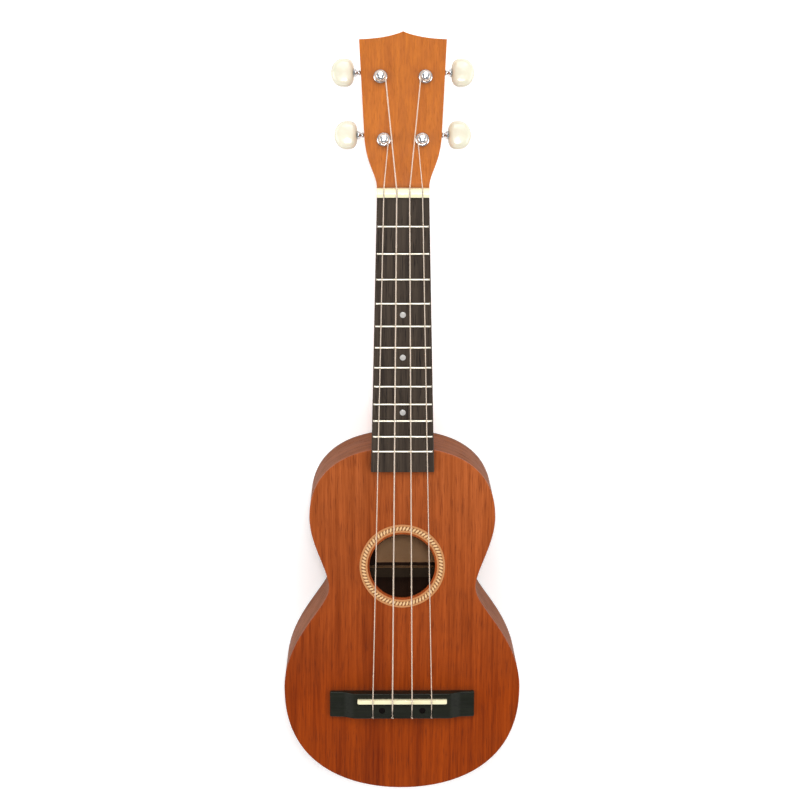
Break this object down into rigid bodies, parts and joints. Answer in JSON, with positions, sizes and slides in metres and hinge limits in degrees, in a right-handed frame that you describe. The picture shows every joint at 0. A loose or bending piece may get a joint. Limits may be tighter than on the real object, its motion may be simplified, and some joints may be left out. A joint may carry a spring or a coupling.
{
  "type": "soprano ukulele",
  "caption": "Small ukulele with a waisted hollow mahogany body, round sound hole, fretted neck, slotted bridge and geared tuning machines whose buttons turn the string posts.",
  "frame": {"origin": "middle of the whole length and width, on the plane of the flat back that the instrument lies on", "axes": "+X towards the treble side (right, seen from the front), +Y along the strings towards the headstock, +Z out of the soundboard"},
  "size_m": [0.165, 0.528, 0.0725],
  "materials": {
    "soundboard_wood": "satin open-pored mahogany, reddish orange",
    "back_and_side_wood": "satin mahogany, browner than the soundboard",
    "neck_wood": "satin, bright orange brown",
    "inner_wood": "sawn, unfinished",
    "rosette": "inlaid veneer ring in a rope pattern",
    "ebonised_wood": "stained near black, satin",
    "rosewood": "oiled, dark brown with darker streaks",
    "fret_wire": "polished nickel silver",
    "bone_plastic": "cream, polished",
    "button_plastic": "ivory, pearly",
    "tuner_chrome": "chrome plate",
    "gear_brass": "machined",
    "nylon": "clear to milky white monofilament"
  },
  "bodies": {
    "root": {"soundboard": "soundboard_wood", "rosette": "rosette", "back_plate": "back_and_side_wood", "side_left": "back_and_side_wood", "side_right": "back_and_side_wood", "neck_block": "inner_wood", "tail_block": "inner_wood", "front_lining_left": "inner_wood", "front_lining_right": "inner_wood", "back_lining_left": "inner_wood", "back_lining_right": "inner_wood", "top_brace_upper": "inner_wood", "top_brace_lower": "inner_wood", "back_brace_upper": "inner_wood", "back_brace_lower": "inner_wood", "bridge": "ebonised_wood", "saddle": "bone_plastic", "fingerboard": "rosewood", "fret_01": "fret_wire", "fret_02": "fret_wire", "fret_03": "fret_wire", "fret_04": "fret_wire", "fret_05": "fret_wire", "fret_06": "fret_wire", "fret_07": "fret_wire", "fret_08": "fret_wire", "fret_09": "fret_wire", "fret_10": "fret_wire", "fret_11": "fret_wire", "fret_12": "fret_wire", "nut": "bone_plastic", "neck": "neck_wood", "bushing_g": "tuner_chrome", "bushing_c": "tuner_chrome", "bushing_e": "tuner_chrome", "bushing_a": "tuner_chrome", "base_plate_g": "tuner_chrome", "base_plate_c": "tuner_chrome", "base_plate_e": "tuner_chrome", "base_plate_a": "tuner_chrome", "string_g": "nylon", "string_c": "nylon", "string_e": "nylon", "string_a": "nylon"},
    "button_g": {"worm_shaft_g": "tuner_chrome", "button_g": "button_plastic"},
    "post_g": {"post_g": "tuner_chrome", "gear_g": "gear_brass"},
    "button_c": {"worm_shaft_c": "tuner_chrome", "button_c": "button_plastic"},
    "post_c": {"post_c": "tuner_chrome", "gear_c": "gear_brass"},
    "button_e": {"worm_shaft_e": "tuner_chrome", "button_e": "button_plastic"},
    "post_e": {"post_e": "tuner_chrome", "gear_e": "gear_brass"},
    "button_a": {"worm_shaft_a": "tuner_chrome", "button_a": "button_plastic"},
    "post_a": {"post_a": "tuner_chrome", "gear_a": "gear_brass"}
  },
  "joints": [
    {"name": "tune_g", "type": "hinge", "parent": "root", "child": "button_g", "pos_m": [-0.01292, 0.19436, 0.03816], "axis": [-1, 0, 0], "continuous": true},
    {"name": "tune_c", "type": "hinge", "parent": "root", "child": "button_c", "pos_m": [-0.01517, 0.23592, 0.03083], "axis": [-1, 0, 0], "continuous": true},
    {"name": "tune_e", "type": "hinge", "parent": "root", "child": "button_e", "pos_m": [0.01517, 0.23592, 0.03083], "axis": [1, 0, 0], "continuous": true},
    {"name": "tune_a", "type": "hinge", "parent": "root", "child": "button_a", "pos_m": [0.01292, 0.19436, 0.03816], "axis": [1, 0, 0], "continuous": true},
    {"name": "wind_g", "type": "hinge", "parent": "root", "child": "post_g", "pos_m": [-0.01292, 0.19256, 0.05441], "axis": [0, 0.1736, 0.9848], "continuous": true},
    {"name": "wind_c", "type": "hinge", "parent": "root", "child": "post_c", "pos_m": [-0.01517, 0.23411, 0.04708], "axis": [0, 0.1736, 0.9848], "continuous": true},
    {"name": "wind_e", "type": "hinge", "parent": "root", "child": "post_e", "pos_m": [0.01517, 0.23411, 0.04708], "axis": [0, 0.1736, 0.9848], "continuous": true},
    {"name": "wind_a", "type": "hinge", "parent": "root", "child": "post_a", "pos_m": [0.01292, 0.19256, 0.05441], "axis": [0, 0.1736, 0.9848], "continuous": true}
  ],
  "couplings": [
    {"joint": "wind_g", "follows": "tune_g", "ratio": 0.071429},
    {"joint": "wind_c", "follows": "tune_c", "ratio": 0.071429},
    {"joint": "wind_e", "follows": "tune_e", "ratio": 0.071429},
    {"joint": "wind_a", "follows": "tune_a", "ratio": 0.071429}
  ]
}
